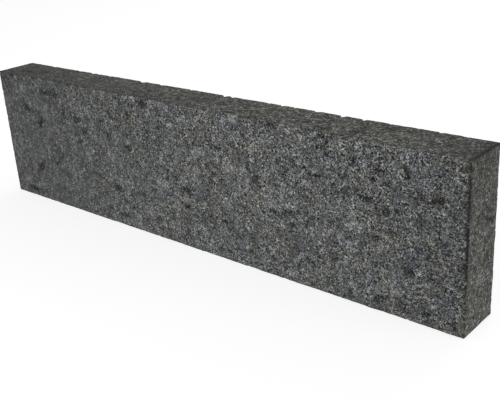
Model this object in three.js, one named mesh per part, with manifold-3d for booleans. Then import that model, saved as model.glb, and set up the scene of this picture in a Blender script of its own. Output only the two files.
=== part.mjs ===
// Granite kerb stone: one sawn bar of anthracite granite, standing on its narrow bed face.
// Millimetres, +Z up. X runs along the stone, Y through its thickness, Z up its height.
// The origin is the middle of the bed face. The six faces are flat, and what gives the stone its
// outline is its twelve arrises: sawing, flaming and handling leave each one as a narrow rounded
// band that is nibbled from end to end, with small shell-shaped flakes knocked out of it.

import * as THREE from "three";
import { mergeVertices } from "three/addons/utils/BufferGeometryUtils.js";
import Module from "manifold-3d";

const wasm = await Module();
wasm.setup();

// ---- Driving dimensions ----

const LENGTH = 1000;
const THICKNESS = 80;
const HEIGHT = 250;

// The nibbled band: how far each nibble reaches in from the two sides, as shares of the wear.
const NIBBLE_REACH = [0.6, 1.5];
const NIBBLE_DRIFT = [-0.35, 0.35]; // how far a nibble strays along the arris, in pitches
const ROUND_MIDDLE = [0.2, 0.38]; // a quarter round's middle lies at 0.29 of its radius

// Flakes: length along the arris, and bite in from each of its two sides.
const FLAKE_LENGTH = [5, 12];
const FLAKE_BITE = [1.8, 3.2];
const FLAKE_PLACE = [0.15, 0.85]; // where a loose flake falls in its stretch of the arris
const FLAKE_TILT = [-0.35, 0.35]; // radians
const FLAKE_SET_BACK = 0.3; // how far the cutting ball's centre stands off each face, in its radii
const LOOSE_DETAIL = 0; // how finely the cutting ball is divided, for loose flakes and for spalls
const SPALL_DETAIL = 1;
const CLEAR_OF_CORNER = 14; // a loose flake keeps this far from the arris's ends

const CLEARANCE = 4; // how far the nibble cutters reach out of the stone
const BAND_OVERRUN = 0.6; // how far their band runs on past the two faces, in its own slopes
const SECTION_CORNERS = 4;
const WELD = 1e-4; // vertices nearer than this are one
const SEED = 27;

// ---- The stone's sides and arrises ----

const SIDES = {
  left: { axis: 0, sign: -1 },
  right: { axis: 0, sign: 1 },
  front: { axis: 1, sign: -1 },
  back: { axis: 1, sign: 1 },
  bottom: { axis: 2, sign: -1 },
  top: { axis: 2, sign: 1 },
};
const HALF_SIZE = [LENGTH / 2, THICKNESS / 2, HEIGHT / 2];

// Each arris is where two sides meet: `wear` is how far its band reaches in from the first side and
// from the second, and `pitch` is the length of a nibble. The back ones took the knocks, and the
// front ones are crisper. At the right end the torch has lifted the flamed face off its arris.
const ARRISES = [
  { sides: ["front", "top"], wear: [1.9, 1.9], pitch: 10, looseFlakes: 12 },
  { sides: ["back", "top"], wear: [2.2, 2.0], pitch: 6.5, looseFlakes: 12 },
  { sides: ["front", "bottom"], wear: [1.6, 1.6], pitch: 10, looseFlakes: 9 },
  { sides: ["back", "bottom"], wear: [1.9, 1.9], pitch: 10, looseFlakes: 12 },
  { sides: ["front", "right"], wear: [1.4, 4.2], pitch: 6.5, looseFlakes: 2 },
  { sides: ["back", "right"], wear: [1.8, 1.8], pitch: 10, looseFlakes: 5 },
  { sides: ["front", "left"], wear: [1.4, 1.7], pitch: 10, looseFlakes: 4 },
  { sides: ["back", "left"], wear: [1.8, 1.8], pitch: 10, looseFlakes: 4 },
  { sides: ["right", "top"], wear: [2.2, 1.8], pitch: 8, looseFlakes: 1 },
  { sides: ["left", "top"], wear: [1.9, 1.9], pitch: 8, looseFlakes: 1 },
  { sides: ["right", "bottom"], wear: [1.8, 1.8], pitch: 8, looseFlakes: 1 },
  { sides: ["left", "bottom"], wear: [1.8, 1.8], pitch: 8, looseFlakes: 1 },
];

// One long piece has come off an arris: its place, its reach and how gradually it runs out.
const LONG_BREAK = { sides: ["back", "top"], from: -520, to: -232, fade: 24, wear: [6.0, 2.6] };

// The larger spalls: `at` is the distance along the arris from the stone's middle, and `bite` is
// how far the hollow reaches in from the first side and from the second.
const SPALLS = [
  { sides: ["back", "top"], at: -424, length: 16, bite: [7.5, 3.5] },
  { sides: ["back", "top"], at: -306, length: 13, bite: [9, 4] },
  { sides: ["back", "top"], at: -167, length: 20, bite: [8, 4] },
  { sides: ["back", "top"], at: -119, length: 15, bite: [5.5, 3] },
  { sides: ["back", "top"], at: -48, length: 8, bite: [6, 3.5] },
  { sides: ["back", "top"], at: 29, length: 13, bite: [10.5, 5.5] },
  { sides: ["back", "top"], at: 46, length: 10, bite: [7, 4.5] },
  { sides: ["back", "top"], at: 70, length: 7, bite: [5, 3.5] },
  { sides: ["back", "top"], at: 121, length: 8, bite: [4.5, 3] },
  { sides: ["back", "top"], at: 149, length: 9, bite: [9, 5] },
  { sides: ["back", "top"], at: 172, length: 7, bite: [6, 4] },
  { sides: ["back", "top"], at: 214, length: 14, bite: [6, 4] },
  { sides: ["back", "top"], at: 261, length: 11, bite: [15, 10] },
  { sides: ["back", "top"], at: 297, length: 10, bite: [8.5, 5.5] },
  { sides: ["back", "top"], at: 340, length: 8, bite: [4, 3] },
  { sides: ["back", "top"], at: 416, length: 8, bite: [5, 3] },
  { sides: ["back", "top"], at: 455, length: 8, bite: [3.5, 2.5] },
  { sides: ["front", "top"], at: 336, length: 14, bite: [3, 3] },
  { sides: ["front", "top"], at: -142, length: 12, bite: [3.5, 3.5] },
  { sides: ["front", "right"], at: 111, length: 16, bite: [2.5, 7] },
  { sides: ["front", "right"], at: 88, length: 9, bite: [2, 6] },
  { sides: ["front", "right"], at: 38, length: 22, bite: [2.5, 6.5] },
  { sides: ["front", "right"], at: -16, length: 14, bite: [3, 8] },
  { sides: ["front", "right"], at: -42, length: 12, bite: [2.5, 7.5] },
  { sides: ["front", "right"], at: -84, length: 18, bite: [2, 6.5] },
];

// ---- Helpers ----

// A repeatable stream of numbers from 0 to 1, so that the stone is the same at every build.
function numberStream(seed) {
  let state = seed;
  return function next() {
    state = (state + 0x6d2b79f5) | 0;
    let mixed = Math.imul(state ^ (state >>> 15), state | 1);
    mixed ^= mixed + Math.imul(mixed ^ (mixed >>> 7), mixed | 61);
    return ((mixed ^ (mixed >>> 14)) >>> 0) / 4294967296;
  };
}

const chance = numberStream(SEED);

function between([least, most]) {
  return least + (most - least) * chance();
}

// The closed geometry as a solid that can be cut.
function solidOf(geometry) {
  const bare = geometry.clone();
  bare.deleteAttribute("normal");
  bare.deleteAttribute("uv");
  const welded = mergeVertices(bare, WELD);
  return new wasm.Manifold(
    new wasm.Mesh({
      numProp: 3,
      vertProperties: Float32Array.from(welded.attributes.position.array),
      triVerts: Uint32Array.from(welded.index.array),
    }),
  );
}

// The cut solid back as a three.js geometry.
function geometryOf(solid) {
  const mesh = solid.getMesh();
  const geometry = new THREE.BufferGeometry();
  geometry.setAttribute("position", new THREE.BufferAttribute(mesh.vertProperties, 3));
  geometry.setIndex(new THREE.BufferAttribute(mesh.triVerts, 1));
  geometry.computeVertexNormals();
  return geometry;
}

// The frame of an arris: its middle, the way it runs, and the way into each of its two faces.
function arrisFrame([nameA, nameB]) {
  const sideA = SIDES[nameA];
  const sideB = SIDES[nameB];
  const run = 3 - sideA.axis - sideB.axis;
  const middle = new THREE.Vector3();
  middle.setComponent(sideA.axis, sideA.sign * HALF_SIZE[sideA.axis]);
  middle.setComponent(sideB.axis, sideB.sign * HALF_SIZE[sideB.axis]);
  const along = new THREE.Vector3().setComponent(run, 1);
  const intoA = new THREE.Vector3().setComponent(sideA.axis, -sideA.sign);
  const intoB = new THREE.Vector3().setComponent(sideB.axis, -sideB.sign);
  return { middle, along, intoA, intoB, halfRun: HALF_SIZE[run] };
}

function pointOn({ middle, along, intoA, intoB }, at, a, b) {
  return middle
    .clone()
    .addScaledVector(along, at)
    .addScaledVector(intoA, a)
    .addScaledVector(intoB, b);
}

// ---- The nibbled band ----

// The wear of an arris at a place along it: its own, or the long break's where that has come off.
function wearAt(at, { sides, wear }) {
  const broken = LONG_BREAK.sides.join() === sides.join();
  const within = Math.min(at - LONG_BREAK.from, LONG_BREAK.to - at) / LONG_BREAK.fade;
  const share = broken ? THREE.MathUtils.clamp(within, 0, 1) : 0;
  return wear.map((own, index) => THREE.MathUtils.lerp(own, LONG_BREAK.wear[index], share));
}

// The cutter's section at one nibble, as pairs of distances in from the two sides: its band crosses
// the faces at `edgeA` and `edgeB` and bends at `middle`, so that the stone keeps a round arris.
function nibbleSection([wearA, wearB]) {
  const edgeA = new THREE.Vector2(wearA * between(NIBBLE_REACH), 0);
  const edgeB = new THREE.Vector2(0, wearB * between(NIBBLE_REACH));
  const middle = edgeA.clone().add(edgeB).multiplyScalar(between(ROUND_MIDDLE));
  return [
    edgeA.clone().lerp(middle, -BAND_OVERRUN),
    middle,
    edgeB.clone().lerp(middle, -BAND_OVERRUN),
    new THREE.Vector2(-CLEARANCE, -CLEARANCE),
  ];
}

// One cutter for a whole arris: nibble sections joined in a row from past one end to past the other.
function nibbleCutter(frame, arris) {
  const run = 2 * (frame.halfRun + CLEARANCE);
  const steps = Math.round(run / arris.pitch);
  const positions = [];
  for (let step = 0; step <= steps; step++) {
    const inside = step > 0 && step < steps;
    const drift = inside ? between(NIBBLE_DRIFT) : 0;
    const at = -run / 2 + ((step + drift) * run) / steps;
    for (const corner of nibbleSection(wearAt(at, arris))) {
      positions.push(...pointOn(frame, at, corner.x, corner.y).toArray());
    }
  }
  const faces = [];
  for (let step = 0; step < steps; step++) {
    for (let corner = 0; corner < SECTION_CORNERS; corner++) {
      const here = step * SECTION_CORNERS + corner;
      const next = step * SECTION_CORNERS + ((corner + 1) % SECTION_CORNERS);
      faces.push([here, next, next + SECTION_CORNERS]);
      faces.push([here, next + SECTION_CORNERS, here + SECTION_CORNERS]);
    }
  }
  const last = steps * SECTION_CORNERS;
  faces.push([0, 3, 1], [1, 3, 2]);
  faces.push([last, last + 1, last + 3], [last + 1, last + 2, last + 3]);

  const geometry = new THREE.BufferGeometry();
  geometry.setAttribute("position", new THREE.Float32BufferAttribute(positions, 3));
  geometry.setIndex(outward(faces, frame).flat());
  return geometry;
}

// The faces are wound for a right-handed frame; a left-handed one turns them over.
function outward(faces, { along, intoA, intoB }) {
  const rightHanded = intoA.clone().cross(intoB).dot(along) > 0;
  return rightHanded ? faces : faces.map(([a, b, c]) => [a, c, b]);
}

// ---- Flakes ----

// A flake leaves a shell-shaped hollow across the arris, cut by a long ball whose centre stands off
// the stone. Its radii follow from where it must cross the faces and the line of the arris.
function flakeCutter(frame, { at, length, bite }, detail) {
  const { along, intoA, intoB } = frame;
  const crossing = Math.sqrt(1 - FLAKE_SET_BACK ** 2) - FLAKE_SET_BACK;
  const [radiusA, radiusB] = bite.map((reach) => reach / crossing);
  const halfLength = length / 2 / Math.sqrt(1 - 2 * FLAKE_SET_BACK ** 2);
  const shape = new THREE.Matrix4().makeBasis(
    along.clone().multiplyScalar(halfLength),
    intoA.clone().multiplyScalar(radiusA),
    along.clone().cross(intoA).multiplyScalar(radiusB),
  );
  const tilt = new THREE.Matrix4().makeRotationAxis(
    intoA.clone().add(intoB).normalize(),
    between(FLAKE_TILT),
  );
  const centre = pointOn(frame, at, -FLAKE_SET_BACK * radiusA, -FLAKE_SET_BACK * radiusB);
  return new THREE.IcosahedronGeometry(1, detail)
    .rotateX(between([0, Math.PI]))
    .applyMatrix4(shape)
    .applyMatrix4(tilt)
    .translate(centre.x, centre.y, centre.z);
}

// Loose flakes are shared out along the arris, one to a stretch, so that no two fall together.
function looseFlakes(frame, count) {
  const reach = frame.halfRun - CLEAR_OF_CORNER;
  const stretch = (2 * reach) / count;
  return Array.from({ length: count }, (_, index) => ({
    at: -reach + (index + between(FLAKE_PLACE)) * stretch,
    length: between(FLAKE_LENGTH),
    bite: [between(FLAKE_BITE), between(FLAKE_BITE)],
  }));
}

// ---- The stone ----

function kerbStone() {
  let stone = solidOf(new THREE.BoxGeometry(LENGTH, THICKNESS, HEIGHT));
  for (const arris of ARRISES) {
    stone = stone.subtract(solidOf(nibbleCutter(arrisFrame(arris.sides), arris)));
  }
  for (const { sides, looseFlakes: count } of ARRISES) {
    const frame = arrisFrame(sides);
    for (const flake of looseFlakes(frame, count)) {
      stone = stone.subtract(solidOf(flakeCutter(frame, flake, LOOSE_DETAIL)));
    }
  }
  for (const { sides, ...spall } of SPALLS) {
    stone = stone.subtract(solidOf(flakeCutter(arrisFrame(sides), spall, SPALL_DETAIL)));
  }

  const granite = new THREE.MeshStandardMaterial({
    color: 0x585a58,
    roughness: 0.85,
    metalness: 0,
    flatShading: true,
  });
  const mesh = new THREE.Mesh(geometryOf(stone), granite);
  mesh.name = "kerb_stone";
  mesh.position.z = HEIGHT / 2;
  return mesh;
}

const kerb = new THREE.Group();
kerb.add(kerbStone());

export default kerb;
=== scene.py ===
import math
import random

import bmesh
import bpy
import numpy as np
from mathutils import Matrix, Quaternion, Vector


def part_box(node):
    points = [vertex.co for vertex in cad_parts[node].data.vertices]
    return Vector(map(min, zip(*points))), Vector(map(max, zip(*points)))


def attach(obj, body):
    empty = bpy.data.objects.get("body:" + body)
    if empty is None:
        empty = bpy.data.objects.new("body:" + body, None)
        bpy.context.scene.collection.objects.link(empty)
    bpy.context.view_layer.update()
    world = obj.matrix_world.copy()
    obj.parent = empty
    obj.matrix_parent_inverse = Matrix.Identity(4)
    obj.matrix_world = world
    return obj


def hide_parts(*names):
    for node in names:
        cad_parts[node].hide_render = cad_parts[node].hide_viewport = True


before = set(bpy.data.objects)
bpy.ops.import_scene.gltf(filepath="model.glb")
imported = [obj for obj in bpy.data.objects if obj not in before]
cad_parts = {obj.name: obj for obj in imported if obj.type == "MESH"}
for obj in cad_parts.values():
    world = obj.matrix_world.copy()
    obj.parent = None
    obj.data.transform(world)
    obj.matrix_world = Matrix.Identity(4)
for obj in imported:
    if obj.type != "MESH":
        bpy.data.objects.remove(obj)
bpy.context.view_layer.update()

# ---------------------------------------------------------------------------------------------
# The kerb stone: one bar of anthracite granite. Both broad faces are flamed, which spalls the
# crystals off and leaves them rough. The top, the bed and the ends are left as sawn. The arrises
# are nibbled and chipped, and show the dark broken stone.
# ---------------------------------------------------------------------------------------------

MM = 0.001

# The skin's mesh: equal cuts along the length, thickness and height, about 3 mm apart, and
# halved in a band at each arris, where the nibbles and flakes are. The back's top arris has the
# deepest ones and the end's front arris the widest, so their bands are wider.
PARTS = [(16, 20), (26,), (80,)]
BAND = 4.7 * MM
WIDE_BANDS = {("back", "top"): 11 * MM, ("front", "right"): 8 * MM}
START_OUTSIDE = 0.5 * MM
DEEPEST = 20 * MM
SAME_WAY = 0.9
# Each side has the axis that it faces along, and which way it faces.
SIDES = {
    "left": (0, -1),
    "right": (0, 1),
    "front": (1, -1),
    "back": (1, 1),
    "bottom": (2, -1),
    "top": (2, 1),
}


def select_edges_along(thing, axis):
    """In edit mode, selects the edges that run along one axis, and no others."""
    mesh = bmesh.from_edit_mesh(thing.data)
    for edge in mesh.edges:
        way = (edge.verts[1].co - edge.verts[0].co).normalized()
        edge.select_set(abs(way[axis]) > SAME_WAY)
    bmesh.update_edit_mesh(thing.data)


def select_faces_where(thing, test):
    """In edit mode, selects the faces whose middle passes the test, and no others."""
    mesh = bmesh.from_edit_mesh(thing.data)
    for face in mesh.faces:
        face.select_set(test(face.calc_center_median()))
    bmesh.update_edit_mesh(thing.data)


low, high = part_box("kerb_stone")
middle = (low + high) / 2
half = (high - low) / 2
outside = Vector((START_OUTSIDE,) * 3)

bpy.ops.object.select_all(action="DESELECT")
bpy.ops.mesh.primitive_cube_add(size=1, location=middle, scale=high - low + 2 * outside)
stone = bpy.context.object
stone.name = "granite_kerb_stone"
bpy.ops.object.transform_apply(location=True, rotation=True, scale=True)

bpy.ops.object.mode_set(mode="EDIT")
bpy.ops.mesh.select_mode(type="EDGE")
for axis, passes in enumerate(PARTS):
    for parts in passes:
        bpy.ops.mesh.select_all(action="DESELECT")
        select_edges_along(stone, axis)
        bpy.ops.mesh.subdivide(number_cuts=parts - 1)


def depth_from(side, point):
    """How far a point lies inside one of the bar's six sides."""
    axis, sign = SIDES[side]
    return half[axis] - sign * (point[axis] - middle[axis])


def near_an_arris(point):
    """True within the band of an arris: there two of the distances to the sides are small."""
    nearest, second = sorted((depth_from(side, point), side) for side in SIDES)[:2]
    arris = tuple(sorted((nearest[1], second[1])))
    return second[0] < WIDE_BANDS.get(arris, BAND)


bpy.ops.mesh.select_mode(type="FACE")
bpy.ops.mesh.select_all(action="DESELECT")
select_faces_where(stone, near_an_arris)
bpy.ops.mesh.subdivide(number_cuts=1)
bpy.ops.object.mode_set(mode="OBJECT")

# The skin is drawn inwards onto the solid, so that every nibble and flake is where the solid has it.
bpy.ops.object.modifier_add(type="SHRINKWRAP")
wrap = stone.modifiers[-1]
wrap.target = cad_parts["kerb_stone"]
wrap.wrap_method = "PROJECT"
wrap.use_negative_direction = True
wrap.use_positive_direction = False
wrap.project_limit = DEEPEST
bpy.ops.object.modifier_apply(modifier=wrap.name)

# What the torch and the saw leave is known from how far each point lies inside the bar's sides.
FULLY_BROKEN = 0.5 * MM
STILL_FLAMED = 0.1 * MM
points = np.zeros(len(stone.data.vertices) * 3)
stone.data.vertices.foreach_get("co", points)
points = points.reshape(-1, 3)
depths = {side: depth_from(side, points.T) for side in SIDES}
broken = np.clip(np.min(list(depths.values()), axis=0) / FULLY_BROKEN, 0, 1)
flamed = (np.minimum(depths["front"], depths["back"]) < STILL_FLAMED) * (1 - broken)

# The front's top arris is crisp: its broken stone is not darkened there, and a painted highlight lightens
# the front along it.
HIGHLIGHT_RIM = 6 * MM
HIGHLIGHT_RIM_STRENGTH = 0.3
crisp = (depths["front"] < BAND) & (depths["top"] < BAND)
dull = np.where(crisp, 0, broken)

# The right end's front and top arrises are darkened with painted shade, as though they turned away from the
# light, and the front's top arris less so. Each line gives two sides, how far the painted shade reaches on
# each, the side it is measured from along the arris, and its strength at that side, halfway and at the far
# end.
SHADED_ARRISES = [
    ("front", 6 * MM, "right", 4 * MM, "top", (1.1, 1.5, 0.5)),
    ("front", 9 * MM, "right", 14 * MM, "top", (0.4, 0.4, 0.25)),
    ("top", 9 * MM, "right", 5 * MM, "front", (0.9, 1.25, 1.1)),
    ("top", 20 * MM, "right", 4 * MM, "front", (0.35, 0.35, 0.35)),
    ("top", 8 * MM, "front", 1.5 * MM, "left", (0.7, 0.55, 0.5)),
]
painted_arris_shade = np.zeros(len(points))
for side, reach, other, other_reach, start, strengths in SHADED_ARRISES:
    share = np.minimum(1 - depths[other] / reach, 1 - depths[side] / other_reach)
    along = depths[start] / (2 * half[SIDES[start][0]])
    strength = np.interp(along, (0, 0.5, 1), strengths)
    painted_arris_shade = np.maximum(painted_arris_shade, strength * np.clip(share, 0, 1))

for name, values in (("broken", dull), ("flamed", flamed), ("painted_arris_shade", painted_arris_shade)):
    stone.data.attributes.new(name, "FLOAT", "POINT").data.foreach_set("value", values)

# The two reliefs fade into each other at the arrises in these many steps.
GROUP_STEPS = 4
for name, values in (("flamed_face", flamed), ("sawn_face", 1 - flamed)):
    group = stone.vertex_groups.new(name=name)
    for step in range(1, GROUP_STEPS + 1):
        members = np.nonzero(np.round(values * GROUP_STEPS) == step)[0]
        group.add(members.tolist(), step / GROUP_STEPS, "REPLACE")


# Large crystals, painted onto the skin as soft eggs whose rims the material breaks up. On the
# front, the top and the right end they are listed by place: across from the side's left edge, down
# from its upper edge, length, width, and tilt up to the right, in millimetres and degrees, and how
# bold the crystal is. On the other sides they are strewn by lot, and rather more thinly.
TOP_CRYSTALS = {
    "blue_black": [
        (50, 57, 24, 14, 20, 1.0),
        (70, 54, 26, 12, -15, 1.0),
        (375, 66, 32, 18, 0, 0.5),
        (515, 50, 16, 12, 0, 0.5),
        (773, 68, 14, 8, 0, 1.0),
        (855, 18, 32, 14, 20, 1.0),
    ],
    "olive_black": [
        (100, 38, 18, 9, 0, 1.0),
        (335, 21, 30, 14, 0, 0.5),
        (410, 71, 14, 9, 0, 0.5),
        (597, 27, 18, 12, 0, 0.5),
        (650, 27, 28, 12, 0, 0.5),
        (745, 20, 18, 10, 0, 1.0),
        (820, 55, 20, 12, 0, 1.0),
    ],
    "blue_grey": [],
    "pale": [
        (570, 60, 34, 16, 10, 0.5),
        (620, 20, 12, 8, 0, 1.0),
        (625, 71, 22, 9, 0, 1.0),
        (745, 68, 10, 8, 0, 1.0),
        (790, 34, 24, 14, 0, 0.5),
        (885, 38, 36, 20, 0, 0.5),
    ],
}
END_CRYSTALS = {
    "blue_black": [],
    "olive_black": [
        (57, 85, 24, 9, -25, 0.5),
        (59, 98, 26, 8, -20, 1.0),
        (52, 146, 16, 15, 90, 0.5),
        (68, 146, 12, 8, 90, 0.5),
    ],
    "blue_grey": [
        (48, 203, 15, 12, 0, 0.5),
    ],
    "pale": [
        (38, 131, 15, 12, 0, 1.0),
        (38, 175, 18, 11, 0, 1.0),
        (14, 18, 16, 12, 0, 0.5),
    ],
}
FRONT_CRYSTALS = {
    "blue_black": [
        (110, 93, 13, 12, 0, 1.1),
        (123, 83, 22, 8, 30, 0.6),
        (153, 26, 66, 11, 3, 0.8),
        (226, 67, 18, 13, 0, 0.8),
        (263, 31, 26, 9, 10, 0.6),
        (298, 223, 13, 8, -10, 0.8),
        (322, 179, 26, 14, -5, 1.0),
        (328, 231, 30, 14, 10, 0.9),
        (411, 10, 22, 13, 15, 0.9),
        (461, 191, 12, 8, 70, 0.7),
        (479, 128, 17, 11, 0, 0.7),
        (500, 147, 22, 15, -10, 1.0),
        (543, 151, 11, 7, 20, 0.8),
        (574, 61, 17, 8, 15, 1.0),
        (684, 139, 13, 10, 0, 1.2),
        (712, 137, 17, 9, 10, 1.1),
        (718, 156, 18, 8, 35, 1.2),
        (723, 51, 15, 13, 0, 0.7),
        (753, 209, 28, 10, -15, 0.7),
        (764, 191, 17, 8, -30, 0.5),
        (809, 32, 22, 12, 20, 0.5),
        (820, 232, 9, 9, 0, 0.8),
        (842, 153, 17, 13, 0, 0.5),
        (871, 229, 26, 9, 30, 1.0),
        (911, 33, 20, 8, -65, 1.2),
        (916, 173, 18, 17, 0, 1.0),
        (969, 130, 20, 14, 0, 0.6),
    ],
    "olive_black": [
        (40, 5, 14, 9, 0, 0.9),
        (57, 236, 26, 11, 0, 1.0),
        (75, 65, 20, 10, 0, 1.0),
        (90, 184, 32, 13, 45, 1.0),
        (152, 161, 34, 7, 40, 1.0),
        (180, 76, 14, 9, 30, 0.7),
        (190, 58, 20, 8, 80, 0.9),
        (229, 107, 18, 10, 20, 0.7),
        (245, 87, 18, 12, 30, 0.9),
        (297, 57, 11, 7, 0, 0.8),
        (311, 80, 20, 10, -60, 1.0),
        (325, 44, 16, 9, -70, 1.0),
        (363, 96, 16, 11, 20, 1.0),
        (372, 37, 16, 9, -60, 0.8),
        (386, 19, 8, 8, 0, 0.9),
        (466, 92, 8, 6, 0, 0.7),
        (499, 176, 14, 9, 0, 1.2),
        (560, 115, 11, 10, 0, 0.7),
        (582, 182, 14, 9, 0, 1.2),
        (635, 221, 13, 10, 0, 1.2),
        (652, 95, 18, 13, 30, 1.0),
        (686, 4, 26, 8, 0, 1.2),
        (768, 66, 14, 8, 20, 1.0),
        (770, 24, 10, 6, 40, 0.8),
        (777, 6, 20, 6, -28, 1.2),
        (812, 58, 18, 10, 0, 0.7),
        (813, 79, 13, 9, 20, 0.8),
        (835, 75, 13, 6, -20, 1.1),
        (838, 117, 10, 5, 0, 0.9),
        (852, 83, 34, 9, -8, 1.1),
        (858, 136, 18, 6, -35, 0.8),
        (861, 52, 16, 7, 15, 1.1),
        (867, 39, 14, 9, 0, 1.2),
        (881, 97, 18, 9, 30, 1.0),
        (899, 90, 11, 8, 0, 1.1),
        (927, 31, 8, 8, 0, 1.0),
        (943, 231, 10, 9, 0, 1.2),
        (946, 141, 17, 8, 80, 1.0),
        (958, 62, 26, 8, 15, 1.1),
        (970, 187, 11, 5, 0, 1.0),
        (980, 236, 12, 7, 20, 0.7),
        (986, 168, 18, 6, 60, 0.8),
        (997, 11, 9, 7, 80, 0.7),
        (998, 100, 9, 6, 90, 1.2),
        (998, 123, 8, 5, 90, 1.0),
        (996, 142, 14, 8, 80, 1.0),
        (998, 167, 7, 6, 0, 1.0),
    ],
    "blue_grey": [
        (236, 24, 16, 10, 0, 0.6),
        (280, 202, 28, 15, 0, 0.7),
        (326, 162, 22, 12, 0, 1.0),
        (354, 232, 40, 16, 10, 1.0),
        (426, 33, 30, 11, 10, 1.0),
        (455, 68, 30, 14, 20, 0.7),
        (588, 13, 22, 15, 0, 0.7),
        (592, 127, 48, 9, 8, 1.0),
        (632, 66, 26, 10, 20, 0.8),
        (673, 240, 24, 14, 0, 1.0),
        (692, 28, 18, 12, 0, 1.0),
        (745, 168, 18, 12, 0, 1.2),
        (798, 36, 30, 14, 15, 0.8),
        (828, 127, 32, 14, 0, 0.5),
        (870, 74, 26, 12, -10, 0.7),
        (917, 160, 14, 10, 0, 0.8),
    ],
    "pale": [
        (37, 219, 13, 12, 0, 0.9),
        (71, 26, 17, 16, 0, 1.2),
        (82, 221, 16, 8, -20, 0.8),
        (252, 134, 14, 10, 0, 0.7),
        (326, 162, 20, 11, 0, 0.6),
        (354, 166, 20, 14, 0, 0.5),
        (398, 208, 18, 12, -40, 1.0),
        (444, 149, 26, 14, -15, 1.2),
        (485, 81, 16, 10, 60, 0.8),
        (495, 163, 13, 8, 20, 0.8),
        (525, 105, 16, 10, 0, 1.3),
        (529, 75, 18, 11, 15, 1.4),
        (533, 210, 26, 9, -10, 0.8),
        (550, 225, 10, 8, 0, 0.9),
        (588, 13, 22, 15, 0, 0.4),
        (590, 147, 22, 22, 0, 0.6),
        (600, 88, 24, 14, 0, 0.9),
        (612, 8, 18, 8, -20, 1.0),
        (627, 86, 15, 10, 20, 1.3),
        (645, 46, 28, 8, 20, 0.7),
        (678, 130, 28, 11, 0, 1.0),
        (717, 234, 16, 12, 0, 0.8),
        (720, 126, 26, 7, 5, 1.0),
        (787, 39, 14, 6, -30, 1.2),
        (800, 150, 12, 8, 0, 0.9),
        (828, 127, 30, 12, 0, 0.8),
    ],
}
CRYSTALS_PER_M2 = {"blue_black": 90, "olive_black": 110, "blue_grey": 60, "pale": 50}
LOT_SEED = 27
LOT_WIDTH = (7, 14)
LOT_STRETCH = (1.1, 2.4)
LOT_BOLDNESS = (0.4, 1.2)
OUTSIDE_ALL = -12 * MM


def seen_point(side, right, down):
    """The place on one of the seen sides, in metres, from millimetres across it and down it."""
    if side == "front":
        return (low.x + right * MM, low.y, high.z - down * MM)
    if side == "top":
        return (low.x + right * MM, high.y - down * MM, high.z)
    return (high.x, low.y + right * MM, high.z - down * MM)


def seen_ways(side):
    """The two ways, across a seen side to the right and up it."""
    across = (0, 1, 0) if side == "right" else (1, 0, 0)
    up = (0, 1, 0) if side == "top" else (0, 0, 1)
    return np.array(across), np.array(up)


def on_seen_side(side, right, down, length, width, tilt, boldness):
    """A listed crystal's centre, way, length, width and boldness."""
    across, up = seen_ways(side)
    turn = math.radians(tilt)
    way = across * math.cos(turn) + up * math.sin(turn)
    return seen_point(side, right, down), way, length * MM, width * MM, boldness


def strewn_by_lot(side, thickly):
    """Crystals strewn over one side, `thickly` of them to a square metre."""
    axis, sign = SIDES[side]
    spans = [2 * half[i] * (i != axis) for i in range(3)]
    area = math.prod(span for span in spans if span)
    for _ in range(round(area * thickly)):
        centre = [middle[i] + spans[i] * lots.uniform(-0.5, 0.5) for i in range(3)]
        centre[axis] = middle[axis] + sign * half[axis]
        way = Vector([lots.uniform(-1, 1) * (i != axis) for i in range(3)]).normalized()
        width = lots.uniform(*LOT_WIDTH) * MM
        length = width * lots.uniform(*LOT_STRETCH)
        yield centre, way, length, width, lots.uniform(*LOT_BOLDNESS)


def inside_egg(centre, way, length, width):
    """How far each point of the skin lies inside an egg-shaped crystal; below zero is outside."""
    away = points - np.array(centre)
    along = away @ np.array(way)
    across = np.sqrt(np.maximum((away**2).sum(1) - along**2, 0))
    return (1 - np.hypot(along / (length / 2), across / (width / 2))) * width / 2


lots = random.Random(LOT_SEED)
SEEN_CRYSTALS = {"front": FRONT_CRYSTALS, "top": TOP_CRYSTALS, "right": END_CRYSTALS}
for kind, thickly in CRYSTALS_PER_M2.items():
    inside = np.full(len(points), OUTSIDE_ALL)
    bold = np.zeros(len(points))
    for side in SIDES:
        if side in SEEN_CRYSTALS:
            eggs = [on_seen_side(side, *listed) for listed in SEEN_CRYSTALS[side][kind]]
        else:
            eggs = strewn_by_lot(side, thickly)
        for *egg, boldness in eggs:
            how_far_in = inside_egg(*egg)
            bold = np.where(how_far_in > inside, boldness, bold)
            inside = np.maximum(inside, how_far_in)
    stone.data.attributes.new(kind, "FLOAT", "POINT").data.foreach_set("value", inside / MM)
    stone.data.attributes.new(kind + "_bold", "FLOAT", "POINT").data.foreach_set("value", bold)

# Broad soft patches of painted light and shade, which stand in for how the light falls off: darker towards
# the ends and in places on the top, lighter in the front's middle and low on the front and the right end.
# Each is a place as above, how far it spreads across the side and down it, and how much it lightens or
# darkens.
NEAR_SIDE = 3 * MM
PAINTED_LIGHT_PATCHES = {
    "front": [
        (0, 0, 80, 60, -0.2),
        (650, 100, 200, 100, 0.05),
        (970, 100, 50, 100, -0.2),
        (500, 250, 500, 100, 0.1),
    ],
    "top": [(50, 40, 150, 100, -0.2), (300, 80, 200, 40, -0.2), (1000, 40, 50, 50, -0.2)],
    "right": [(40, 20, 80, 60, -0.2), (40, 240, 80, 60, 0.1)],
}
painted_light = np.ones(len(points))
for side, patches in PAINTED_LIGHT_PATCHES.items():
    across_side = depths[side] < NEAR_SIDE
    for right, down, length, width, change in patches:
        centre = seen_point(side, right, down)
        along, across = seen_ways(side)
        away = points - np.array(centre)
        spread = (away @ along / (length * MM)) ** 2 + (away @ across / (width * MM)) ** 2
        painted_light += across_side * change * np.exp(-spread)
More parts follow.
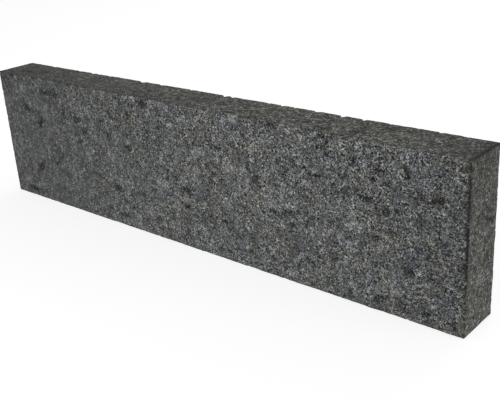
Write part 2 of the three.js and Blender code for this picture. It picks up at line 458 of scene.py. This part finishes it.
# A painted highlight on the front along its top arris, where it turns up towards the light.
on_front = depths["front"] < NEAR_SIDE
painted_light += HIGHLIGHT_RIM_STRENGTH * on_front * np.clip(1 - depths["top"] / HIGHLIGHT_RIM, 0, 1)
stone.data.attributes.new("painted_light", "FLOAT", "POINT").data.foreach_set("value", painted_light)

# How strongly the crystals differ from one another: least towards the left, most on the top's
# right half, and a little less down the broad faces. Each pair gives how far from the left end, and
# how strongly there.
CONTRAST = {
    "front": ((0, 0.5), (150, 0.62), (300, 0.9), (450, 1.08), (1000, 1.06)),
    "top": ((0, 0.57), (200, 0.78), (450, 1.07), (600, 1.26), (750, 1.38), (1000, 1.1)),
}
DOWN_THE_FRONT = (1.08, 0.93)
CONTRAST_ENDS = 0.98
ON_SIDE = 1 * MM
left_of = depths["left"] / MM
contrast = np.interp(left_of, *zip(*CONTRAST["front"]))
contrast *= np.interp(depths["top"] / (2 * half.z), (0, 1), DOWN_THE_FRONT)
on_top = depths["top"] < ON_SIDE
contrast = np.where(on_top, np.interp(left_of, *zip(*CONTRAST["top"])), contrast)
on_end = np.minimum(depths["left"], depths["right"]) < ON_SIDE
contrast = np.where(on_end, CONTRAST_ENDS, contrast)
stone.data.attributes.new("contrast", "FLOAT", "POINT").data.foreach_set("value", contrast)

# The top and the bed, sawn along the bar, show more of the larger crystals, and so does the left
# of the broad faces.
COARSE_TO = 350
on_bed = depths["bottom"] < ON_SIDE
coarse = np.where(on_top | on_bed, 1.0, np.clip(1 - left_of / COARSE_TO, 0, 1))
coarse = np.where(on_end, 0, coarse)
stone.data.attributes.new("coarse", "FLOAT", "POINT").data.foreach_set("value", coarse)


def add_relief(thing, name, kind, size, height, group, **settings):
    """Presses a pattern into the surface, down to `height` deep, where the vertex group says."""
    pattern = bpy.data.textures.new(name, kind)
    pattern.noise_scale = size
    for setting, value in settings.items():
        setattr(pattern, setting, value)
    bpy.ops.object.modifier_add(type="DISPLACE")
    relief = thing.modifiers[-1]
    relief.texture = pattern
    relief.texture_coords = "LOCAL"
    relief.direction = "NORMAL"
    relief.mid_level = 1
    relief.strength = height
    relief.vertex_group = group
    bpy.ops.object.modifier_apply(modifier=relief.name)


SMOOTH_BELOW = math.radians(50)
add_relief(stone, "torch_waves", "CLOUDS", size=45 * MM, height=0.8 * MM, group="flamed_face")
add_relief(stone, "torch_pits", "CLOUDS", size=5 * MM, height=0.9 * MM, group="flamed_face", noise_depth=2)
add_relief(stone, "saw_waves", "CLOUDS", size=70 * MM, height=0.3 * MM, group="sawn_face")
add_relief(stone, "saw_pits", "CLOUDS", size=4 * MM, height=0.25 * MM, group="sawn_face", noise_depth=1)
bpy.ops.object.shade_smooth_by_angle(angle=SMOOTH_BELOW)


def linear(code):
    """A colour socket's value for an sRGB hex code such as "#a0b1c2"."""
    channels = [int(code[i : i + 2], 16) / 255 for i in (1, 3, 5)]
    return [c / 12.92 if c <= 0.04045 else ((c + 0.055) / 1.055) ** 2.4 for c in channels] + [1]


def add_node(tree, kind, links=(), **settings):
    """Adds a node, sets its properties, and sets or links its inputs."""
    node = tree.nodes.new(kind)
    for setting, value in settings.items():
        setattr(node, setting, value)
    for name, value in dict(links).items():
        if isinstance(value, bpy.types.NodeSocket):
            tree.links.new(value, node.inputs[name])
        else:
            node.inputs[name].default_value = value
    return node


# Flamed and sawn granite: a close mass of dark mica and quartz and grey feldspar crystals, about
# 1 to 4 mm across, with larger crystals strewn in it. The flamed crystals are split and catch the
# light, so those faces are cooler and mottled; the sawn faces are smoother and olive.
SMALL_CRYSTAL = 1.3 * MM
MIDDLE_CRYSTAL = 2.7 * MM
MIDDLE_SHARE = 0.3
COARSE_SHARE = 0.65
STONE_MEAN = "#484949"
MINERALS = [
    (0.00, "#101111"),
    (0.25, "#292a2a"),
    (0.50, "#494a4a"),
    (0.75, "#696a6a"),
    (1.00, "#939494"),
]
CLUMPS = [(40 * MM, 0.25, "all"), (9 * MM, 0.6, "coarse")]
BUSY_SIZE = 9 * MM
BUSY = (0.7, 1.3)
CRACKS = 0.25
CRACK_SIZE = 1.1 * MM
CRACK_ROUGHNESS = 0.65
BEND = 1.2 * MM
BEND_SIZE = 2.5 * MM
# A noise is stretched from between these values, and held at the ends past them.
WIDE_NOISE = {"From Min": 0.3, "From Max": 0.7}
NARROW_NOISE = {"From Min": 0.35, "From Max": 0.65}
MOTTLE_SIZE = 20 * MM
MOTTLES = 0.2
SAWN_TINT = "#f5f5f9"
SAW_SLURRY = "#0f0f06"
LARGE_CRYSTALS = {
    "blue_grey": ("MULTIPLY", "#f8fbff", 1.0),
    "blue_black": ("MULTIPLY", "#68737a", 0.95),
    "olive_black": ("MULTIPLY", "#64645f", 0.95),
    "pale": ("ADD", "#464645", 1.0),
}
STREWN_SPACING = 13 * MM
STREWN_REACH = 7.5
STREWN = ("MULTIPLY", "#80807a")
STREWN_FLAMED = 0.5
STREWN_SAWN = 0.9
RAGGED = 3.5
RAGGED_SIZE = 5 * MM
RIM = (-2.4, 1.6)
GROWN_INTO = 3.0
FLECKS = 0.55
CASTS = [
    (12 * MM, "#fcfff9", "#fffcfe", "all"),
    (15 * MM, "#fffdf7", "#f8faff", "flamed"),
    (42 * MM, "#fefffd", "#fffeff", "all"),
    (50 * MM, "#fefefb", "#f8fbff", "flamed"),
    (18 * MM, "#feffe6", "#fffcff", "sawn"),
]
DARK_STONE_AND_SHADE = "#141413"
BROKEN_DARKNESS = 0.4
ARRIS_SHADE_RAGGED = 0.2
ARRIS_SHADE_RIM = (0.1, 0.9)
ARRIS_SHADE_DARKNESS = 0.95
GRANITE_ROUGHNESS = 0.8
GRANITE_SPECULAR = 0.2
CRYSTAL_HEIGHT = 0.5 * MM
STANDS_OUT_SAWN = 0.25
STANDS_OUT_FLAMED = 0.6
granite = bpy.data.materials.new("flamed_and_sawn_granite")
granite.use_nodes = True
tree = granite.node_tree
shader = tree.nodes["Principled BSDF"]
place = add_node(tree, "ShaderNodeTexCoord").outputs["Object"]
flamed_here = add_node(tree, "ShaderNodeAttribute", attribute_name="flamed").outputs["Fac"]
broken_here = add_node(tree, "ShaderNodeAttribute", attribute_name="broken").outputs["Fac"]

# Crystals aren't round cells, so the pattern is bent a little by a noise first.
bend = add_node(
    tree, "ShaderNodeTexNoise", {"Vector": place, "Scale": 1 / BEND_SIZE, "Detail": 2}
).outputs["Color"]
bend = add_node(
    tree, "ShaderNodeVectorMath", {0: bend, 1: (0.5, 0.5, 0.5)}, operation="SUBTRACT"
).outputs[0]
bent = add_node(
    tree, "ShaderNodeVectorMath", {0: bend, 1: (BEND,) * 3, 2: place}, operation="MULTIPLY_ADD"
).outputs[0]

# Each crystal is one mineral, drawn by lot, small ones between larger ones, and like minerals
# gather in clumps, more where the stone is coarse.
small = add_node(tree, "ShaderNodeTexVoronoi", {"Vector": bent, "Scale": 1 / SMALL_CRYSTAL})
small = add_node(tree, "ShaderNodeSeparateColor", {"Color": small.outputs["Color"]}).outputs["Red"]
larger = add_node(tree, "ShaderNodeTexVoronoi", {"Vector": bent, "Scale": 1 / MIDDLE_CRYSTAL})
larger = add_node(tree, "ShaderNodeSeparateColor", {"Color": larger.outputs["Color"]}).outputs
coarse_here = add_node(tree, "ShaderNodeAttribute", attribute_name="coarse").outputs["Fac"]
middle_share = add_node(
    tree, "ShaderNodeMapRange", {"Value": coarse_here, "To Min": MIDDLE_SHARE, "To Max": COARSE_SHARE}
).outputs[0]
chosen = add_node(
    tree, "ShaderNodeMath", {0: larger["Green"], 1: middle_share}, operation="LESS_THAN"
).outputs[0]
lot = add_node(tree, "ShaderNodeMix", {0: chosen, 2: small, 3: larger["Red"]}).outputs[0]

share = lot
clump_shares = {"all": 1.0, "coarse": coarse_here}
for size, weight, where in CLUMPS:
    clump = add_node(
        tree, "ShaderNodeTexNoise", {"Vector": place, "Scale": 1 / size, "Detail": 2}
    ).outputs[0]
    clump = add_node(
        tree, "ShaderNodeMath", {0: clump, 1: weight, 2: -weight / 2}, operation="MULTIPLY_ADD"
    ).outputs[0]
    share = add_node(
        tree, "ShaderNodeMath", {0: clump, 1: clump_shares[where], 2: share}, operation="MULTIPLY_ADD"
    ).outputs[0]

# Here the crystals differ more from one another, there less.
busy = add_node(
    tree, "ShaderNodeTexNoise", {"Vector": place, "Scale": 1 / BUSY_SIZE, "Detail": 1}
).outputs[0]
busy = add_node(
    tree,
    "ShaderNodeMapRange",
    {"Value": busy, **NARROW_NOISE, "To Min": BUSY[0], "To Max": BUSY[1]},
).outputs[0]
share = add_node(tree, "ShaderNodeMath", {0: share, 1: 0.5}, operation="SUBTRACT").outputs[0]
share = add_node(tree, "ShaderNodeMath", {0: share, 1: busy, 2: 0.5}, operation="MULTIPLY_ADD").outputs[0]
minerals = add_node(tree, "ShaderNodeValToRGB", {"Fac": share})
stops = minerals.color_ramp.elements
stops[0].position, stops[0].color = MINERALS[0][0], linear(MINERALS[0][1])
stops[1].position, stops[1].color = MINERALS[-1][0], linear(MINERALS[-1][1])
for position, code in MINERALS[1:-1]:
    stops.new(position).color = linear(code)
colour = minerals.outputs["Color"]

# Within a crystal the brightness varies a little, by cleavage and cracks.
crack = add_node(
    tree,
    "ShaderNodeTexNoise",
    {"Vector": place, "Scale": 1 / CRACK_SIZE, "Detail": 3, "Roughness": CRACK_ROUGHNESS},
).outputs[0]
crack = add_node(
    tree,
    "ShaderNodeMapRange",
    {"Value": crack, **WIDE_NOISE, "To Min": 1 - CRACKS, "To Max": 1 + CRACKS},
).outputs[0]
colour = add_node(
    tree, "ShaderNodeMix", {0: 1.0, 6: colour, 7: crack}, data_type="RGBA", blend_type="MULTIPLY"
).outputs[2]

contrast_here = add_node(tree, "ShaderNodeAttribute", attribute_name="contrast").outputs["Fac"]
colour = add_node(
    tree,
    "ShaderNodeMix",
    {0: contrast_here, 6: linear(STONE_MEAN), 7: colour},
    data_type="RGBA",
    clamp_factor=False,
    clamp_result=True,
).outputs[2]

# The torch has left soft mottles, lighter and darker and about a finger wide, on the flamed faces.
mottle = add_node(
    tree, "ShaderNodeTexNoise", {"Vector": place, "Scale": 1 / MOTTLE_SIZE, "Detail": 1}
).outputs[0]
mottle = add_node(
    tree,
    "ShaderNodeMapRange",
    {"Value": mottle, **WIDE_NOISE, "To Min": 1 - MOTTLES, "To Max": 1 + MOTTLES},
).outputs[0]
colour = add_node(
    tree, "ShaderNodeMix", {0: flamed_here, 6: colour, 7: mottle}, data_type="RGBA", blend_type="MULTIPLY"
).outputs[2]

# The sawn faces keep a thin olive film of dried saw slurry, which shows most on dark crystals.
sawn = add_node(
    tree, "ShaderNodeMix", {0: 1.0, 6: colour, 7: linear(SAWN_TINT)}, data_type="RGBA", blend_type="MULTIPLY"
).outputs[2]
sawn = add_node(
    tree, "ShaderNodeMix", {0: 1.0, 6: sawn, 7: linear(SAW_SLURRY)}, data_type="RGBA", blend_type="ADD"
).outputs[2]
colour = add_node(tree, "ShaderNodeMix", {0: flamed_here, 6: sawn, 7: colour}, data_type="RGBA").outputs[2]

# Dark crystals up to some 15 mm across are strewn everywhere by lot, and the large ones are where
# they were painted. All have ragged rims, because the small ones grew into them, the pale small
# ones most into the dark large ones and the dark ones into the pale; inside they show as flecks.
strewn = add_node(tree, "ShaderNodeTexVoronoi", {"Vector": place, "Scale": 1 / STREWN_SPACING}).outputs
strewn_lots = add_node(tree, "ShaderNodeSeparateColor", {"Color": strewn["Color"]}).outputs
away = add_node(
    tree, "ShaderNodeMath", {0: strewn["Distance"], 1: STREWN_SPACING / MM}, operation="MULTIPLY"
).outputs[0]
inside = add_node(
    tree, "ShaderNodeMath", {0: strewn_lots["Red"], 1: STREWN_REACH}, operation="MULTIPLY"
).outputs[0]
inside = add_node(tree, "ShaderNodeMath", {0: inside, 1: away}, operation="SUBTRACT").outputs[0]
strewn_strength = add_node(
    tree, "ShaderNodeMapRange", {"Value": flamed_here, "To Min": STREWN_SAWN, "To Max": STREWN_FLAMED}
).outputs[0]
crystals = [(inside, strewn_lots["Green"], *STREWN, strewn_strength)]
for kind, look in LARGE_CRYSTALS.items():
    inside = add_node(tree, "ShaderNodeAttribute", attribute_name=kind).outputs["Fac"]
    bold = add_node(tree, "ShaderNodeAttribute", attribute_name=kind + "_bold").outputs["Fac"]
    crystals.append((inside, bold, *look))

ragged = add_node(
    tree, "ShaderNodeTexNoise", {"Vector": place, "Scale": 1 / RAGGED_SIZE, "Detail": 3}
).outputs[0]
ragged = add_node(
    tree, "ShaderNodeMath", {0: ragged, 1: 2 * RAGGED, 2: -RAGGED}, operation="MULTIPLY_ADD"
).outputs[0]
speck = add_node(tree, "ShaderNodeMath", {0: lot, 1: 0.5}, operation="SUBTRACT").outputs[0]
for inside, bold, blend, code, strength in crystals:
    inside = add_node(tree, "ShaderNodeMath", {0: inside, 1: ragged}, operation="ADD").outputs[0]
    alike = 1 if blend == "ADD" else -1
    inside = add_node(
        tree, "ShaderNodeMath", {0: speck, 1: alike * GROWN_INTO, 2: inside}, operation="MULTIPLY_ADD"
    ).outputs[0]
    flecks = add_node(
        tree, "ShaderNodeMath", {0: speck, 1: alike * FLECKS, 2: 1.0}, operation="MULTIPLY_ADD"
    ).outputs[0]
    bold = add_node(tree, "ShaderNodeMath", {0: bold, 1: flecks}, operation="MULTIPLY").outputs[0]
    amount = add_node(
        tree,
        "ShaderNodeMapRange",
        {"Value": inside, "From Min": RIM[0], "From Max": RIM[1], "To Max": strength},
    ).outputs[0]
    amount = add_node(tree, "ShaderNodeMath", {0: amount, 1: bold}, operation="MULTIPLY").outputs[0]
    colour = add_node(
        tree, "ShaderNodeMix", {0: amount, 6: colour, 7: linear(code)}, data_type="RGBA", blend_type=blend
    ).outputs[2]

# Clouds of colour, about one finger and three fingers wide: green to violet everywhere, and on the
# flamed faces, where the torch has burnt the iron in the stone, also ochre to blue. On the sawn
# faces the slurry's olive comes and goes.
sawn_here = add_node(tree, "ShaderNodeMath", {0: 1.0, 1: flamed_here}, operation="SUBTRACT").outputs[0]
cast_shares = {"all": 1.0, "flamed": flamed_here, "sawn": sawn_here}
for size, one_way, other_way, where in CASTS:
    cloud = add_node(
        tree, "ShaderNodeTexNoise", {"Vector": place, "Scale": 1 / size, "Detail": 2}
    ).outputs[0]
    cloud = add_node(
        tree, "ShaderNodeMapRange", {"Value": cloud, **NARROW_NOISE}
    ).outputs[0]
    cast = add_node(
        tree, "ShaderNodeMix", {0: cloud, 6: linear(one_way), 7: linear(other_way)}, data_type="RGBA"
    ).outputs[2]
    cast = add_node(
        tree,
        "ShaderNodeMix",
        {0: cast_shares[where], 6: colour, 7: cast},
        data_type="RGBA",
        blend_type="MULTIPLY",
    ).outputs[2]
    colour = cast

# The painted light and shade of the patches and of the front's top rim multiply the colour.
painted_light_here = add_node(tree, "ShaderNodeAttribute", attribute_name="painted_light").outputs["Fac"]
colour = add_node(
    tree, "ShaderNodeMix", {0: 1.0, 6: colour, 7: painted_light_here}, data_type="RGBA", blend_type="MULTIPLY"
).outputs[2]

# Broken stone at the arrises is dark, and the painted shade along the right end's arrises darkens the colour
# too, with a ragged rim.
arris_shade_here = add_node(tree, "ShaderNodeAttribute", attribute_name="painted_arris_shade").outputs["Fac"]
arris_shade_here = add_node(
    tree, "ShaderNodeMath", {0: ragged, 1: ARRIS_SHADE_RAGGED, 2: arris_shade_here}, operation="MULTIPLY_ADD"
).outputs[0]
arris_shade_here = add_node(
    tree,
    "ShaderNodeMapRange",
    {"Value": arris_shade_here, "From Min": ARRIS_SHADE_RIM[0], "From Max": ARRIS_SHADE_RIM[1], "To Max": ARRIS_SHADE_DARKNESS},
).outputs[0]
broken_amount = add_node(
    tree, "ShaderNodeMath", {0: broken_here, 1: BROKEN_DARKNESS}, operation="MULTIPLY"
).outputs[0]
# The darker of the broken stone and the painted arris shade.
broken_and_shade = add_node(tree, "ShaderNodeMath", {0: arris_shade_here, 1: broken_amount}, operation="MAXIMUM").outputs[0]
colour = add_node(
    tree, "ShaderNodeMix", {0: broken_and_shade, 6: colour, 7: linear(DARK_STONE_AND_SHADE)}, data_type="RGBA"
).outputs[2]

tree.links.new(colour, shader.inputs["Base Color"])
shader.inputs["Roughness"].default_value = GRANITE_ROUGHNESS
shader.inputs["Specular IOR Level"].default_value = GRANITE_SPECULAR

# The crystals stand out of the surface or have popped from it, by some tenths of a millimetre.
crystal_height = add_node(tree, "ShaderNodeMath", {0: crack, 1: lot}, operation="ADD").outputs[0]
reach = add_node(
    tree,
    "ShaderNodeMapRange",
    {"Value": flamed_here, "To Min": STANDS_OUT_SAWN, "To Max": STANDS_OUT_FLAMED},
).outputs[0]
bump = add_node(
    tree, "ShaderNodeBump", {"Height": crystal_height, "Strength": reach, "Distance": CRYSTAL_HEIGHT}
)
tree.links.new(bump.outputs[0], shader.inputs["Normal"])

stone.data.materials.append(granite)
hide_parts("kerb_stone")
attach(stone, "root")

# ---------------------------------------------------------------------------------------------
# The floor: a plain pale lit table, laid level under the stone, which throws some light up at it.
# What the camera sees of it is lifted to near white, and it keeps the stone's shadow.
# ---------------------------------------------------------------------------------------------

FLOOR_SIZE = 14
CARD_ROUGHNESS = 0.9
CARD_ALBEDO = 0.85
CARD_GLOW = 0.25
SEEN_ALBEDO = 0.42
SEEN_LIFT = 0.76

bpy.ops.object.select_all(action="DESELECT")
bpy.ops.mesh.primitive_plane_add(size=FLOOR_SIZE, location=(0, 0, low.z))
floor = bpy.context.object
floor.name = "studio_floor"
card = bpy.data.materials.new("pale_matt_card")
card.use_nodes = True
tree = card.node_tree
shader = tree.nodes["Principled BSDF"]
ray = add_node(tree, "ShaderNodeLightPath").outputs
seen = add_node(
    tree, "ShaderNodeMath", {0: ray["Is Camera Ray"], 1: ray["Is Glossy Ray"]}, operation="MAXIMUM"
).outputs[0]
albedo = add_node(
    tree, "ShaderNodeMapRange", {"Value": seen, "To Min": CARD_ALBEDO, "To Max": SEEN_ALBEDO}
).outputs[0]
lift = add_node(
    tree, "ShaderNodeMapRange", {"Value": seen, "To Min": CARD_GLOW, "To Max": SEEN_LIFT}
).outputs[0]
tree.links.new(albedo, shader.inputs["Base Color"])
tree.links.new(lift, shader.inputs["Emission Strength"])
shader.inputs["Emission Color"].default_value = (1, 1, 1, 1)
shader.inputs["Roughness"].default_value = CARD_ROUGHNESS
shader.inputs["Specular IOR Level"].default_value = 0
floor.data.materials.append(card)

# ---------------------------------------------------------------------------------------------
# The light: an even white surround, a broad lamp in front of the stone, low and a little to the
# right, and two more: one off its right end, and one above its back, which also lights the top.
# ---------------------------------------------------------------------------------------------

WORLD_LIGHT = 0.45
FRONT_W = 33.3
END_W = 38
BACK_W = 19.5

surround = bpy.data.worlds.new("white_surround")
bpy.context.scene.world = surround
surround.use_nodes = True
tree = surround.node_tree
ray = add_node(tree, "ShaderNodeLightPath").outputs
seen = add_node(
    tree, "ShaderNodeMath", {0: ray["Is Camera Ray"], 1: ray["Is Glossy Ray"]}, operation="MAXIMUM"
).outputs[0]
strength = add_node(
    tree, "ShaderNodeMapRange", {"Value": seen, "To Min": WORLD_LIGHT, "To Max": 1.0}
).outputs[0]
tree.links.new(strength, tree.nodes["Background"].inputs["Strength"])
tree.nodes["Background"].inputs["Color"].default_value = (1, 1, 1, 1)


def add_soft_lamp(name, azimuth, elevation, away, side, energy):
    """A square soft lamp aimed at the stone, by its bearing from the front towards the right."""
    bearing, height = math.radians(azimuth), math.radians(elevation)
    way = Vector((math.sin(bearing), -math.cos(bearing), 0)) * math.cos(height)
    way.z = math.sin(height)
    bpy.ops.object.light_add(type="AREA", location=middle + away * way)
    lamp = bpy.context.object
    lamp.name = name
    lamp.data.size = side
    lamp.data.energy = energy
    lamp.rotation_mode = "QUATERNION"
    lamp.rotation_quaternion = (-way).to_track_quat("-Z", "Y")


add_soft_lamp("front_lamp", azimuth=9, elevation=3, away=2.2, side=1.0, energy=FRONT_W)
add_soft_lamp("end_lamp", azimuth=100, elevation=4, away=3.5, side=1.6, energy=END_W)
add_soft_lamp("back_lamp", azimuth=180, elevation=35, away=3.5, side=1.6, energy=BACK_W)

# ---------------------------------------------------------------------------------------------
# The camera: in front of the stone, off its right end and a little above it, turned towards the
# stone's right half.
# ---------------------------------------------------------------------------------------------

CAMERA_AT = Vector((912.5, -895.1, 592.7)) * MM
CAMERA_LOOKS_AT = Vector((138.8, -40.0, 118.3)) * MM
CAMERA_ROLL = math.radians(-3.8)
LENS = 58.63
SENSOR_WIDTH = 36
NEAREST_SEEN = 0.05

bpy.ops.object.camera_add(location=CAMERA_AT)
camera = bpy.context.object
camera.data.lens = LENS
camera.data.sensor_width = SENSOR_WIDTH
camera.data.clip_start = NEAREST_SEEN
aim = (CAMERA_LOOKS_AT - CAMERA_AT).to_track_quat("-Z", "Y")
camera.rotation_mode = "QUATERNION"
camera.rotation_quaternion = aim @ Quaternion((0, 0, 1), CAMERA_ROLL)
bpy.context.scene.camera = camera
bpy.context.scene.view_settings.view_transform = "Standard"
